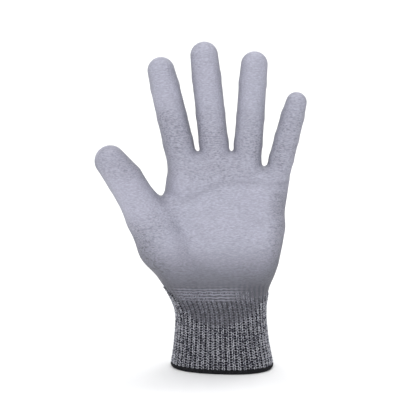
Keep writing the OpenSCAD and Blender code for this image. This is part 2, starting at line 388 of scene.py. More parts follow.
def surface_net(total, axes, h):
    """Quads around every place where the field changes sign, as vertices and triangles."""
    inside = total < 0
    corner = [(i, j, k) for i in (0, 1) for j in (0, 1) for k in (0, 1)]
    n = [s - 1 for s in total.shape]
    count = np.zeros(n, np.int8)
    for i, j, k in corner:
        count += inside[i:i + n[0], j:j + n[1], k:k + n[2]]
    mixed = (count > 0) & (count < 8)
    index = np.full(n, -1, np.int64)
    index[mixed] = np.arange(mixed.sum())
    cells = np.argwhere(mixed)
    origin = np.array([a[0] for a in axes])
    verts = origin + (cells + 0.5) * h
    quads = []
    for axis in range(3):
        lo = [slice(None)] * 3
        hi = [slice(None)] * 3
        lo[axis], hi[axis] = slice(0, -1), slice(1, None)
        a, b = inside[tuple(lo)], inside[tuple(hi)]
        edges = np.argwhere(a != b)
        o1, o2 = (axis + 1) % 3, (axis + 2) % 3
        ok = (edges[:, o1] > 0) & (edges[:, o2] > 0) & (edges[:, o1] < n[o1]) & (edges[:, o2] < n[o2])
        edges = edges[ok]
        rising = a[tuple(edges.T)]
        ring = []
        for d1, d2 in ((0, 0), (-1, 0), (-1, -1), (0, -1)):
            c = edges.copy()
            c[:, o1] += d1
            c[:, o2] += d2
            ring.append(index[tuple(c.T)])
        ring = np.stack(ring, 1)
        ring[~rising] = ring[~rising][:, ::-1]
        quads.append(ring)
    quads = np.concatenate(quads)
    quads = quads[(quads >= 0).all(1)]
    return verts, quads


def smooth_over(verts, quads, rounds):
    """Evens the mesh out, keeping it on the form."""
    e = np.concatenate([quads[:, [0, 1]], quads[:, [1, 2]], quads[:, [2, 3]], quads[:, [3, 0]]])
    n = len(verts)
    deg = np.bincount(e.ravel(), minlength=n)[:, None]
    for _ in range(rounds):
        acc = np.stack([np.bincount(e[:, 0], verts[e[:, 1], i], n) +
                        np.bincount(e[:, 1], verts[e[:, 0], i], n) for i in range(3)], 1)
        verts = onto_form(acc / np.maximum(deg, 1), 1)
    return onto_form(verts, 1)


def vertex_normals(verts, tris):
    a, b, c = verts[tris[:, 0]], verts[tris[:, 1]], verts[tris[:, 2]]
    f = np.cross(b - a, c - a)
    n = np.stack([np.bincount(tris.ravel(), np.repeat(f[:, i], 3), len(verts)) for i in range(3)], 1)
    return n / np.maximum(np.linalg.norm(n, axis=1, keepdims=True), 1e-12)


def ripple(p, scale, seed):
    """Soft noise between -1 and 1, from crossed waves."""
    rng = np.random.default_rng(seed)
    out = np.zeros(p.shape[:-1])
    for _ in range(7):
        d = unit(rng.normal(size=3))
        out += np.sin((p @ d) * TAU / (scale * rng.uniform(0.7, 1.5)) + rng.uniform(0, TAU))
    return out / 3.2


def polyline_distance(x, z, line):
    """Distance in the XZ plane to a line of points, and how far along it."""
    best, along = np.full(x.shape, 1e9), np.zeros(x.shape)
    for i, (a, b) in enumerate(zip(line, line[1:])):
        a, b = np.array(a, float), np.array(b, float)
        d = b - a
        t = np.clip(((x - a[0]) * d[0] + (z - a[1]) * d[1]) / (d @ d), 0, 1)
        e = np.hypot(x - a[0] - t * d[0], z - a[1] - t * d[1])
        near = e < best
        best = np.where(near, e, best)
        along = np.where(near, (i + t) / (len(line) - 1), along)
    return best, along


# Folds across the front of the palm: points (x, z), depth as a share of the crease depth, width
FOLDS = [
    ([(-35, 122), (-25, 127.5), (-15, 132), (-2, 138.5), (8, 140.5), (22, 139.2), (36, 138.5), (50, 139.5)],
     1.0, 2.8),
    ([(3, 127), (13, 121), (23, 114), (33, 106)], 0.42, 4.2),
    ([(-24, 85), (-13, 76), (0, 69), (14, 64)], 0.88, 4.2),
    ([(-20, 110), (-15, 103), (-6, 97)], 0.4, 4.0),
    ([(36, 133), (41, 130), (48, 128)], 0.5, 1.8),
    ([(34, 124), (41, 121.5), (48, 121)], 0.4, 1.8),
    ([(-36, 64), (-20, 61), (0, 60.5), (20, 62), (35, 64)], 0.5, 2.4),
    ([(-46, 84), (-38, 79), (-28, 76)], 0.45, 2.2),
    ([(-60, 100), (-50, 96), (-42, 92)], 0.35, 2.0),
]


def relief(p, n, depth):
    """How far the surface is pressed in or out where the fabric folds, in millimetres."""
    front = smoothstep((-n[:, 1] - 0.05) / 0.5)
    out = -1.6 * front * np.exp(-((p[:, 0] + 2) / 20) ** 2 - ((p[:, 2] - 112) / 20) ** 2)
    for line, share, width in FOLDS:
        d, t = polyline_distance(p[:, 0], p[:, 2], line)
        ends = smoothstep(t / 0.2) * smoothstep((1 - t) / 0.12) if share < 0.9 else smoothstep(t / 0.25)
        fold = np.exp(-(d / width) ** 2)
        swell = 0.5 * np.exp(-((d - 2.4 * width) / (1.6 * width)) ** 2)
        out += depth * share * ends * (swell - fold) * front
    for g in DIGITS:
        near = g.distance(p) < 1.5
        for i, (hinge, run) in enumerate(zip(g.hinges, g.runs)):
            if i == 0 and g.name != "thumb":
                continue
            s = (p - hinge) @ run
            wave = 0.22 * np.exp(-((s + 1.4) / 1.1) ** 2) + 0.16 * np.exp(-((s - 1.8) / 1.0) ** 2)
            out -= near * front * wave
    out += 0.10 * ripple(p, 17, 3) + 0.05 * ripple(p * np.array([0.6, 1, 2.2]), 9, 5) * front
    return out


def fold_shade(p):
    """0 to 1 in the bottom of the palm's folds, where painted shade darkens the film."""
    out = np.zeros(len(p))
    for line, share, width in FOLDS:
        d, t = polyline_distance(p[:, 0], p[:, 2], line)
        out = np.maximum(out, share * np.exp(-(d / (0.7 * width)) ** 2) * smoothstep(t / 0.15) *
                         (smoothstep((1 - t) / 0.12) if share < 0.9 else 1))
    return out


def film_bottom(x):
    """Height of the film's lower edge on the cuff at x."""
    xs = [-60, -42, -36, -31, -26, -20, -12, -5, 4, 13, 19, 24, 28, 32, 36, 42, 60]
    zs = [66, 61, 57, 50, 43, 38.5, 35.8, 34.8, 35.6, 38, 41.5, 45.5, 50, 55, 59, 61, 66]
    return np.interp(x, xs, zs)


def tip_reach(p):
    """How far past the wrap line of the nearest fingertip a point is, in millimetres."""
    out = np.full(len(p), -99.0)
    for g in DIGITS:
        s = (p - g.tip) @ g.runs[-1] + (9.5 if g.name != "thumb" else 11)
        out = np.where(g.distance(p) < 2.0, np.maximum(out, s), out)
    return out


def side_cover(p, n):
    """How far a point lies inside the film's edge along the sides and over the fingertips."""
    sides = (0.30 - n[:, 1] + 0.07 * ripple(p, 22, 11) + 0.05 * ripple(p, 7, 12)) * 10
    tips = tip_reach(p) + 1.2 * ripple(p, 12, 13)
    return np.maximum(sides, tips)


def film_cover(p, n):
    """How far a point lies inside the film's edge, positive where the film covers the knit."""
    low = p[:, 2] - film_bottom(p[:, 0]) + 0.8 * ripple(p, 9, 14)
    return np.minimum(side_cover(p, n), low)


def split(table, tris, s):
    """Cuts the triangles along s = 0, carrying every column over, and gives the new table, triangles and s."""
    s = np.where(np.abs(s) < 0.03, 0.0, s)
    sign = np.sign(s).astype(int)
    ts = sign[tris]
    cross = (ts.min(1) < 0) & (ts.max(1) > 0)
    keep, todo, tsd = tris[~cross], tris[cross], ts[cross]
    if not len(todo):
        return table, tris, s
    pairs = np.concatenate([todo[:, [0, 1]], todo[:, [1, 2]], todo[:, [2, 0]]])
    pairs = pairs[s[pairs[:, 0]] * s[pairs[:, 1]] < 0]
    pairs = np.unique(np.sort(pairs, 1), axis=0)
    t = (s[pairs[:, 0]] / (s[pairs[:, 0]] - s[pairs[:, 1]]))[:, None]
    fresh = table[pairs[:, 0]] * (1 - t) + table[pairs[:, 1]] * t
    base = len(table)
    key = pairs[:, 0] * base + pairs[:, 1]

    def mid(a, b):
        k = np.minimum(a, b) * base + np.maximum(a, b)
        return base + np.searchsorted(key, k)

    out = [keep]
    zero = (tsd == 0).sum(1)
    for r in range(3):
        a, b, c = (np.roll(np.arange(3), -r))
        lone = (zero == 0) & (tsd[:, b] == tsd[:, c])
        x, y, z = todo[lone][:, a], todo[lone][:, b], todo[lone][:, c]
        xy, xz = mid(x, y), mid(x, z)
        out += [np.stack([x, xy, xz], 1), np.stack([xy, y, z], 1), np.stack([xy, z, xz], 1)]
        flat = (zero == 1) & (tsd[:, a] == 0)
        x, y, z = todo[flat][:, a], todo[flat][:, b], todo[flat][:, c]
        yz = mid(y, z)
        out += [np.stack([x, y, yz], 1), np.stack([x, yz, z], 1)]
    return np.concatenate([table, fresh]), np.concatenate(out), np.concatenate([s, np.zeros(len(fresh))])


def digit_of(p):
    return np.argmin(np.stack([g.distance(p) for g in DIGITS], 1), 1)


def region_planes():
    """Each region of a digit: digit number, joint number, plane point and direction."""
    return [(i, j, z[0], z[1]) for i, g in enumerate(DIGITS) for j, z in enumerate(g.zones())]


def region_of(p, digit):
    """0 for the cuff and palm, else 1 + 3 * digit + joint."""
    out = np.zeros(len(p), int)
    for i, j, at, way in region_planes():
        out = np.where((digit == i) & ((p - at) @ way > 0) & ((out > 0) | (j == 0)), 1 + 3 * i + j, out)
    return out


# table columns
XYZ, NRM, COVER, PHASE = slice(0, 3), slice(3, 6), 6, 7
_made = {}


def rib_rings(levels, n=240):
    """For each height, a ring of surface points from mid-back round the thumb side, with arc lengths."""
    levels = np.asarray(levels, float)
    left, right, front, back, _ = outline_at(levels)
    centre = np.stack([(left + right) / 2, (front + back) / 2, levels], -1)
    ang = np.pi / 2 + np.arange(n) * TAU / n
    way = np.stack([np.cos(ang), np.sin(ang), np.zeros(n)], -1)
    lo, hi = np.full((len(levels), n), 8.0), np.full((len(levels), n), 90.0)
    for _ in range(16):
        mid = (lo + hi) / 2
        f = field(centre[:, None] + way[None] * mid[..., None])
        lo, hi = np.where(f < 0, mid, lo), np.where(f < 0, hi, mid)
    ring = centre[:, None] + way[None] * lo[..., None]
    step = np.linalg.norm(np.diff(np.concatenate([ring, ring[:, :1]], 1), axis=1), axis=2)
    arc = np.concatenate([np.zeros((len(levels), 1)), np.cumsum(step, 1)], 1)
    return ring, arc


def rib_phase(p, ribs):
    """Which rib a point of the lower glove lies on, as a running number."""
    levels = np.arange(0, 76, 3.0)
    ring, arc = rib_rings(levels, 180)
    left, right, front, back, _ = outline_at(p[:, 2])
    ang = np.mod(np.arctan2(p[:, 1] - (front + back) / 2, p[:, 0] - (left + right) / 2) - np.pi / 2, TAU)
    share = arc / arc[:, -1:]
    u = ang / TAU * 180
    i = np.clip(np.floor(u).astype(int), 0, 179)
    t = np.clip(u - i, 0, 1)
    k = np.clip(p[:, 2] / 3.0, 0, len(levels) - 1.001)
    j = np.floor(k).astype(int)
    w = k - j
    at = lambda row: share[row, i] * (1 - t) + share[row, i + 1] * t
    return (at(j) * (1 - w) + at(j + 1) * w) * ribs


def glove_form(settings, knit):
    """The glove's outer surface: a table of vertices, the triangles, their regions, and the grid behind it."""
    if "form" in _made:
        return _made["form"]
    h = settings.cell / MM
    total, axes = grid_field(np.array([-103.0, -36, -5]), np.array([70.0, 34, 250]), h)
    verts, quads = surface_net(total, axes, h)
    verts = smooth_over(verts, quads, 3)
    tris = np.concatenate([quads[:, [0, 1, 2]], quads[:, [0, 2, 3]]])
    used = np.unique(tris)
    remap = np.full(len(verts), -1)
    remap[used] = np.arange(len(used))
    verts, tris = verts[used], remap[tris]
    normals = gradient(verts)
    cover = film_cover(verts, normals)
    verts = verts + normals * relief(verts, normals, settings.crease / MM)[:, None]
    normals = vertex_normals(verts, tris)
    table = np.concatenate([verts, normals, cover[:, None], np.zeros((len(verts), 1))], 1)
    table, tris, s = split(table, tris, table[:, 2] - HEM_LINE)
    tris = tris[(s[tris].min(1) >= 0)]
    table, tris, _ = split(table, tris, table[:, COVER])
    for i, j, at, way in region_planes():
        mine = digit_of(table[:, XYZ]) == i
        s = (table[:, XYZ] - at) @ way
        if j == 0:
            s = np.where(mine, s, -9.0)
        else:
            s = np.where(mine, s, 0.0)
        near = mine[tris].all(1)
        table2, t2, _ = split(table, tris[near], s)
        table, tris = table2, np.concatenate([tris[~near], t2])
    table[:, NRM] /= np.linalg.norm(table[:, NRM], axis=1, keepdims=True)
    table[:, PHASE] = rib_phase(table[:, XYZ], knit.ribs)
    centre = table[:, XYZ][tris].mean(1)
    regions = region_of(centre, digit_of(centre))
    _made["form"] = (table, tris, regions, total, axes)
    return _made["form"]


# ---------------------------------------------------------------- meshes and bodies

def new_object(name, verts, faces, material, attributes=None):
    """A mesh object in metres from millimetre points, smooth, with float attributes on its points."""
    mesh = bpy.data.meshes.new(name)
    verts = np.asarray(verts, float) * MM
    faces = np.asarray(faces, np.int32)
    mesh.vertices.add(len(verts))
    mesh.vertices.foreach_set("co", verts.astype(np.float32).ravel())
    k = faces.shape[1]
    mesh.loops.add(faces.size)
    mesh.loops.foreach_set("vertex_index", faces.ravel())
    mesh.polygons.add(len(faces))
    mesh.polygons.foreach_set("loop_start", np.arange(0, faces.size, k, dtype=np.int32))
    mesh.update(calc_edges=True)
    mesh.polygons.foreach_set("use_smooth", np.ones(len(faces), bool))
    for key, values in (attributes or {}).items():
        a = mesh.attributes.new(key, "FLOAT", "POINT")
        a.data.foreach_set("value", np.asarray(values, np.float32))
    mesh.materials.append(material)
    mesh.set_sharp_from_angle(angle=math.radians(50))
    obj = bpy.data.objects.new(name, mesh)
    bpy.context.scene.collection.objects.link(obj)
    return obj


def shell(points, normals, tris, outer, inner):
    """A closed skin from a patch: its outer side, its inner side and a rim."""
    used = np.unique(tris)
    remap = np.full(len(points), -1)
    remap[used] = np.arange(len(used))
    t = remap[tris]
    p, n = points[used], normals[used]
    o = outer[used][:, None] if np.ndim(outer) else outer
    i = inner[used][:, None] if np.ndim(inner) else inner
    m = len(used)
    verts = np.concatenate([p + n * o, p + n * i])
    e = np.concatenate([t[:, [0, 1]], t[:, [1, 2]], t[:, [2, 0]]])
    key = e[:, 0].astype(np.int64) * m + e[:, 1]
    twin = e[:, 1].astype(np.int64) * m + e[:, 0]
    rim = e[~np.isin(key, twin)]
    a, b = rim[:, 0], rim[:, 1]
    faces = np.concatenate([t, t[:, ::-1] + m, np.stack([a, a + m, b + m], 1), np.stack([a, b + m, b], 1)])
    return verts, faces, used


def region_name(region):
    if region == 0:
        return "palm_and_cuff"
    g = DIGITS[(region - 1) // 3]
    return f"{g.name}_{g.parts[(region - 1) % 3]}"


# Pieces of the palm and cuff that would be too heavy as one are made in two, divided at these heights
LINER_DIVIDE, KNIT_DIVIDE = 86.0, 110.0


def height_bands(region, z, divide):
    """For a region, its pieces as (name, which of the heights belong to it)."""
    if region:
        return [(region_name(region), np.ones(len(z), bool))]
    return [("cuff_and_heel", z < divide), ("palm", z >= divide)]


def region_list():
    return [0] + [1 + 3 * i + j for i, g in enumerate(DIGITS) for j in range(len(g.parts))]


def join_to_bodies(obj, region):
    """Bakes a finished piece's placement into its mesh."""
    if region == 0:
        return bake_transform(obj)
    i, j = (region - 1) // 3, (region - 1) % 3
    g = DIGITS[i]
    _, _, start, end = g.zones()[j]
    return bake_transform(obj)


# ---------------------------------------------------------------- materials

class Nodes:
    """A material being built: makes nodes and links them in short lines."""

    def __init__(self, name):
        self.material = bpy.data.materials.new(name)
        self.material.use_nodes = True
        self.tree = self.material.node_tree
        self.tree.nodes.clear()
        self.out = self.tree.nodes.new("ShaderNodeOutputMaterial")
        self.shader = self.add("ShaderNodeBsdfPrincipled")
        self.link(self.shader.outputs["BSDF"], self.out.inputs["Surface"])
        self.place = self.add("ShaderNodeTexCoord").outputs["Object"]

    def add(self, kind, **props):
        n = self.tree.nodes.new(kind)
        for k, v in props.items():
            setattr(n, k, v)
        return n

    def link(self, a, b):
        self.tree.links.new(a, b)

    def put(self, socket, value):
        if isinstance(value, bpy.types.NodeSocket):
            self.link(value, socket)
        else:
            socket.default_value = value

    def math(self, op, a, b=0.0, clamp=False):
        n = self.add("ShaderNodeMath", operation=op, use_clamp=clamp)
        self.put(n.inputs[0], a)
        self.put(n.inputs[1], b)
        return n.outputs[0]

    def mix(self, share, a, b):
        n = self.add("ShaderNodeMix", data_type="RGBA")
        self.put(n.inputs[0], share)
        self.put(n.inputs[6], a if isinstance(a, bpy.types.NodeSocket) else (*a, 1))
        self.put(n.inputs[7], b if isinstance(b, bpy.types.NodeSocket) else (*b, 1))
        return n.outputs[2]

    def noise(self, scale, detail=2.0, stretch=None, rough=0.5):
        n = self.add("ShaderNodeTexNoise")
        n.inputs["Scale"].default_value = scale
        n.inputs["Detail"].default_value = detail
        n.inputs["Roughness"].default_value = rough
        at = self.place
        if stretch:
            m = self.add("ShaderNodeMapping")
            m.inputs["Scale"].default_value = stretch
            self.link(at, m.inputs["Vector"])
            at = m.outputs[0]
        self.link(at, n.inputs["Vector"])
        return n.outputs[0]

    def cells(self, scale):
        n = self.add("ShaderNodeTexVoronoi", feature="SMOOTH_F1")
        n.inputs["Scale"].default_value = scale
        self.link(self.place, n.inputs["Vector"])
        return n.outputs["Distance"]

    def ramp(self, value, low, high, to_low=0.0, to_high=1.0):
        n = self.add("ShaderNodeMapRange", interpolation_type="SMOOTHSTEP")
        self.put(n.inputs["Value"], value)
        n.inputs["From Min"].default_value = low
        n.inputs["From Max"].default_value = high
        n.inputs["To Min"].default_value = to_low
        n.inputs["To Max"].default_value = to_high
        return n.outputs[0]

    def attribute(self, name):
        return self.add("ShaderNodeAttribute", attribute_name=name).outputs["Fac"]

    def bump(self, *layers):
        """Layers are (height, strength, distance), from the broadest to the finest."""
        last = None
        for value, strength, distance in layers:
            n = self.add("ShaderNodeBump")
            n.inputs["Strength"].default_value = strength
            n.inputs["Distance"].default_value = distance
            self.link(value, n.inputs["Height"])
            if last is not None:
                self.link(last, n.inputs["Normal"])
            last = n.outputs[0]
        self.link(last, self.shader.inputs["Normal"])

    def finish(self, colour, roughness, specular, sheen=0.0):
        self.put(self.shader.inputs["Base Color"], colour)
        self.put(self.shader.inputs["Roughness"], roughness)
        self.shader.inputs["Specular IOR Level"].default_value = specular
        if sheen:
            self.shader.inputs["Sheen Weight"].default_value = sheen
            self.shader.inputs["Sheen Roughness"].default_value = 0.5
        return self.material


def times(colour, share):
    """A lighter or darker shade of a colour."""
    return tuple(min(1, share * c) for c in colour)


def marl(m, light, dark, fine=1300.0):
    """Colour of the marled yarn: short light and dark flecks along the strands."""
    tone = m.attribute("tone")
    flecks = m.noise(fine, 2.0)
    level = m.math("ADD", flecks, m.math("MULTIPLY", tone, 0.10))
    return m.mix(m.ramp(level, 0.487, 0.585), dark, light)


def yarn_material(colours):
    m = Nodes("marled_yarn")
    light, dark = tuple(colours.yarn_light), tuple(colours.yarn_dark)
    coat = m.attribute("coated")
    colour = marl(m, light, dark)
    film = m.mix(m.ramp(m.noise(800.0, 2.0), 0.38, 0.62), times(colours.film, 0.20),
                 times(colours.film, 0.66))
    colour = m.mix(coat, colour, film)
    # The sunk strand is darkened towards the dark yarn: painted shade in the groove behind the ribs.
    colour = m.mix(m.math("MULTIPLY", m.attribute("sunk"), 0.28), colour, dark)
    fuzz = m.noise(2600.0, 3.0)
    ply = m.noise(900.0, 1.0, (1.0, 1.0, 2.2))
    m.bump((ply, 0.5, 0.0003), (fuzz, 0.6, 0.00015))
    return m.finish(colour, m.ramp(coat, 0.0, 1.0, 0.85, 0.6), 0.25, 0.15)


def liner_material(colours):
    m = Nodes("shaded_knit_ground")
    light, dark = tuple(colours.yarn_light), tuple(colours.yarn_dark)
    # The ground under the stitches is darker than either yarn: the dark yarn's own colour, with painted shade
    # in the holes between the loops.
    colour = m.mix(m.ramp(m.noise(1100.0, 2.0), 0.45, 0.7), times(dark, 0.25),
                   times(light, 0.04))
    rows = m.add("ShaderNodeTexWave", bands_direction="Z", wave_profile="SIN")
    rows.inputs["Scale"].default_value = 100.0
    rows.inputs["Distortion"].default_value = 1.5
    rows.inputs["Detail"].default_value = 1.0
    m.link(m.place, rows.inputs["Vector"])
    m.bump((rows.outputs["Fac"], 0.6, 0.0004), (m.noise(1500.0, 3.0), 0.5, 0.0002))
    return m.finish(colour, 0.9, 0.2, 0.1)


def film_material(colours):
    """Dull dipped film: pebbled by the knit under it, drawn into short cross wrinkles, thin near its edges,
    with painted shade on its rims, sides, wrinkles and folds and towards its bottom.
    """
    m = Nodes("dipped_film")
    base = tuple(colours.film)
    cloud = m.noise(22.0, 3.0)
    colour = m.mix(cloud, tuple(c * k for c, k in zip(base, (0.93, 0.955, 0.965))),
                   tuple(min(1, c * k) for c, k in zip(base, (1.05, 1.02, 1.04))))
    pebble = m.cells(760.0)
    specks = m.noise(1000.0, 2.0, (0.45, 1.0, 1.4))
    wrinkle = m.noise(420.0, 3.0, (0.52, 1.0, 2.3), 0.65)
    patches = m.ramp(m.noise(34.0, 2.0), 0.46, 0.66)
    rough_shaded_sides = m.attribute("drawn")
    amount = m.math("ADD", m.math("MULTIPLY", patches, 0.30), m.math("MULTIPLY", rough_shaded_sides, 0.85), True)
    dark_flecks = m.math("MULTIPLY", m.ramp(specks, 0.50, 0.68), m.ramp(amount, 0.0, 1.0, 0.34, 1.35))
    colour = m.mix(m.math("MULTIPLY", dark_flecks, 0.55, True), colour, times(base, 0.34))
    pale_flecks = m.ramp(specks, 0.50, 0.34)
    colour = m.mix(m.math("MULTIPLY", pale_flecks, 0.34), colour, times(base, 1.5))
    # Dark lines along the wrinkles: painted shade in them.
    lines = m.math("MULTIPLY", m.ramp(wrinkle, 0.54, 0.66), amount)
    colour = m.mix(m.math("MULTIPLY", lines, 0.85), colour, times(base, 0.28))
    # Darker where drawn is high, on the palm's sides, its lower part and the fingers' lower parts: painted
    # shade.
    colour = m.mix(m.math("MULTIPLY", rough_shaded_sides, 0.34), colour, times(base, 0.42))
    # Darker towards the bottom of the glove: partly the dark knit under the thinner film, partly painted shade.
    low = m.attribute("low")
    colour = m.mix(m.math("MULTIPLY", low, 0.86), colour, times(base, 0.20))
    # Painted shade in the bottom of the palm's folds.
    colour = m.mix(m.math("MULTIPLY", m.attribute("fold"), 0.18), colour, times(base, 0.35))
    # Near the lower edge the film is thin and the ribs and rows of the knit show through it.
    thin = m.attribute("thin")
    phase = m.attribute("rib_phase")
    rib = m.math("MULTIPLY_ADD", m.math("SINE", m.math("MULTIPLY", phase, TAU)), 0.5)
    rib.node.inputs[2].default_value = 0.5
    climb = m.math("MULTIPLY", m.attribute("rest_height"), TAU / ROW_PITCH)
    climb = m.math("ADD", climb, m.math("MULTIPLY", m.noise(260.0, 2.0), 5.0))
    row = m.math("MULTIPLY_ADD", m.math("SINE", climb), 0.5)
    row.node.inputs[2].default_value = 0.5
    rows_zone = m.attribute("row_zone")
    rows_show = m.math("MULTIPLY", m.ramp(row, 0.35, 0.8), rows_zone)
    rib_show = m.math("MULTIPLY", m.ramp(rib, 0.75, 0.25), thin)
    rows_dark = m.math("MULTIPLY", m.ramp(row, 0.5, 0.1), rows_zone)
    colour = m.mix(m.math("MULTIPLY", rows_dark, 0.45), colour, times(base, 0.22))
    colour = m.mix(m.math("MULTIPLY", rib_show, 0.80), colour, times(base, 0.07))
    colour = m.mix(m.math("MULTIPLY", rows_show, 0.50), colour, times(base, 1.0))
    # Darker along the rims that turn away from the front: painted shade.
    edge = m.attribute("painted_rim_shade")
    colour = m.mix(m.math("MULTIPLY", edge, 0.74), colour, times(base, 0.24))
    m.bump((m.math("MULTIPLY", rib, thin), 0.7, 0.0005), (m.math("MULTIPLY", row, rows_zone), 0.6, 0.0003),
           (m.math("MULTIPLY", wrinkle, amount), 1.0, 0.0012), (pebble, 0.45, 0.0003),
           (m.math("MULTIPLY", specks, m.ramp(amount, 0.0, 1.0, 0.55, 1.2)), 0.9, 0.0005))
    rough = m.ramp(m.noise(75.0, 2.0), 0.3, 0.7, 0.44, 0.54)
    return m.finish(colour, rough, 0.34)


def thread_material(name, colour, ply=1300.0, rough=0.75):
    m = Nodes(name)
    shade = m.mix(m.noise(ply, 2.0), times(colour, 0.55), times(colour, 1.6))
    m.bump((m.noise(ply * 1.4, 2.0, (1.0, 1.0, 0.5)), 0.6, 0.0002))
    return m.finish(shade, rough, 0.18)


def materials(colours):
    if "materials" not in _made:
        _made["materials"] = {
            "film": film_material(colours),
            "yarn": yarn_material(colours),
            "ground": liner_material(colours),
            "hem": thread_material("hem_thread", tuple(colours.hem)),
            "elastic": thread_material("elastic_yarn", (0.62, 0.62, 0.58), 900.0, 0.6),
        }
    return _made["materials"]


# ---------------------------------------------------------------- stitches by geometry nodes

class Stitch:
    """A geometry node group being built: points in, stitches out, with a yarn thickness, seed and material."""

    def __init__(self, name, yarn):
        self.tree = bpy.data.node_groups.new(name, "GeometryNodeTree")
        sockets = [("Geometry", "Geometry", None), ("Yarn", "Float", yarn), ("Seed", "Int", 7),
                   ("Material", "Material", None)]
        for label, kind, value in sockets:
            s = self.tree.interface.new_socket(label, in_out="INPUT", socket_type="NodeSocket" + kind)
            if value is not None:
                s.default_value = value
        self.tree.interface.new_socket("Geometry", in_out="OUTPUT", socket_type="NodeSocketGeometry")
        self.given = self.tree.nodes.new("NodeGroupInput").outputs
        self.output = self.tree.nodes.new("NodeGroupOutput").inputs[0]

    def add(self, kind, inputs=(), out=0, **props):
        """Adds a node. Inputs are (name, value) pairs, a value being a number or another node's output."""
        n = self.tree.nodes.new(kind)
        for k, v in props.items():
            setattr(n, k, v)
        for key, value in inputs:
            if isinstance(value, bpy.types.NodeSocket):
                self.tree.links.new(value, n.inputs[key])
            else:
                n.inputs[key].default_value = value
        return n.outputs[out]

    def named(self, name):
        return self.add("GeometryNodeInputNamedAttribute", [("Name", name)], data_type="FLOAT_VECTOR")

    def bend(self, resolution, start, middle, end):
        return self.add("GeometryNodeCurveQuadraticBezier",
                        [("Resolution", resolution), ("Start", start), ("Middle", middle), ("End", end)])

    def tube(self, curve, radius, sides):
        """A closed tube along a curve."""
        curve = self.add("GeometryNodeSetCurveRadius", [("Curve", curve), ("Radius", radius)])
        circle = self.add("GeometryNodeCurvePrimitiveCircle", [("Resolution", sides), ("Radius", 1.0)], "Curve")
        thickness = self.add("GeometryNodeInputRadius")
        return self.add("GeometryNodeCurveToMesh", [("Curve", curve), ("Profile Curve", circle),
                                                    ("Fill Caps", True), ("Scale", thickness)])

    def leg(self, side, foot, knee, head):
        """One leg of a stitch, in units of the stitch: a bent strand, tapered to its ends."""
        strand = self.bend(4, *[(at[0] * side, at[1], at[2]) for at in (foot, knee, head)])
        along = self.add("GeometryNodeSplineParameter", out="Factor")
        bow = self.add("ShaderNodeMath", [(0, along), (1, 0.5)], operation="PINGPONG")
        taper = self.add("ShaderNodeMapRange", [("Value", bow), ("From Max", 0.34), ("To Min", 0.28),
                                                ("To Max", 1.0)], interpolation_type="SMOOTHSTEP")
        return self.tube(strand, self.scaled(taper, self.given["Yarn"]), 5)

    def scaled(self, a, b):
        return self.add("ShaderNodeMath", [(0, a), (1, b)], operation="MULTIPLY")

    def place(self, *shapes):
        """Sets the shapes on every point, out along face_out and up along face_up, each with its own tone."""
        group = self.tree.nodes.new("GeometryNodeJoinGeometry")
        for shape in shapes:
            self.tree.links.new(shape, group.inputs[0])
        turn = self.add("FunctionNodeAxesToRotation",
                        [("Primary Axis", self.named("face_out")), ("Secondary Axis", self.named("face_up"))],
                        primary_axis="Z", secondary_axis="Y")
        put = self.add("GeometryNodeInstanceOnPoints",
                       [("Points", self.given["Geometry"]), ("Instance", group.outputs[0]), ("Rotation", turn),
                        ("Scale", self.named("stitch_size"))])
        tone = self.add("FunctionNodeRandomValue", [("Seed", self.given["Seed"])], 1)
        toned = self.add("GeometryNodeStoreNamedAttribute",
                         [("Geometry", put), ("Name", "tone"), ("Value", tone)], domain="INSTANCE")
        smooth = self.add("GeometryNodeSetShadeSmooth",
                          [("Geometry", self.add("GeometryNodeRealizeInstances", [(0, toned)]))])
        painted = self.add("GeometryNodeSetMaterial",
                           [("Geometry", smooth), ("Material", self.given["Material"])])
        self.tree.links.new(painted, self.output)
        return self.tree


def plain_stitch_tree():
    st = Stitch("plain_stitches", 0.30)
    legs = [st.leg(k, (0.05, -0.62, -0.10), (0.62, -0.10, 0.34), (0.28, 0.62, -0.06)) for k in (1, -1)]
    return st.place(*legs)


def rib_stitch_tree():
    """A rib stitch: two legs, and the sunk strand that runs behind the groove to the next rib."""
    st = Stitch("rib_stitches", 0.25)
    legs = [st.leg(k, (0.02, -0.62, -0.22), (1.00, -0.10, 0.48), (0.18, 0.62, -0.06)) for k in (1, -1)]
    strand = st.bend(3, (0.45, -0.12, -0.26), (1.23, -0.12, -0.56), (2.02, -0.12, -0.26))
    sunk = st.tube(strand, st.scaled(st.given["Yarn"], 0.62), 4)
    sunk = st.add("GeometryNodeStoreNamedAttribute", [("Geometry", sunk), ("Name", "sunk"), ("Value", 1.0)])
    return st.place(*legs, sunk)


def wrap_tree():
    """A thread wrapped round the hem: a flat oval loop."""
    st = Stitch("hem_wraps", 0.16)
    loop = st.add("GeometryNodeCurvePrimitiveCircle", [("Resolution", 14), ("Radius", 1.0)], "Curve")
    turned_loop = st.add("GeometryNodeTransform", [("Geometry", loop), ("Rotation", (0, math.radians(90), 0))])
    return st.place(st.tube(turned_loop, st.given["Yarn"], 6))


TREES = {"plain": plain_stitch_tree, "rib": rib_stitch_tree, "wrap": wrap_tree}


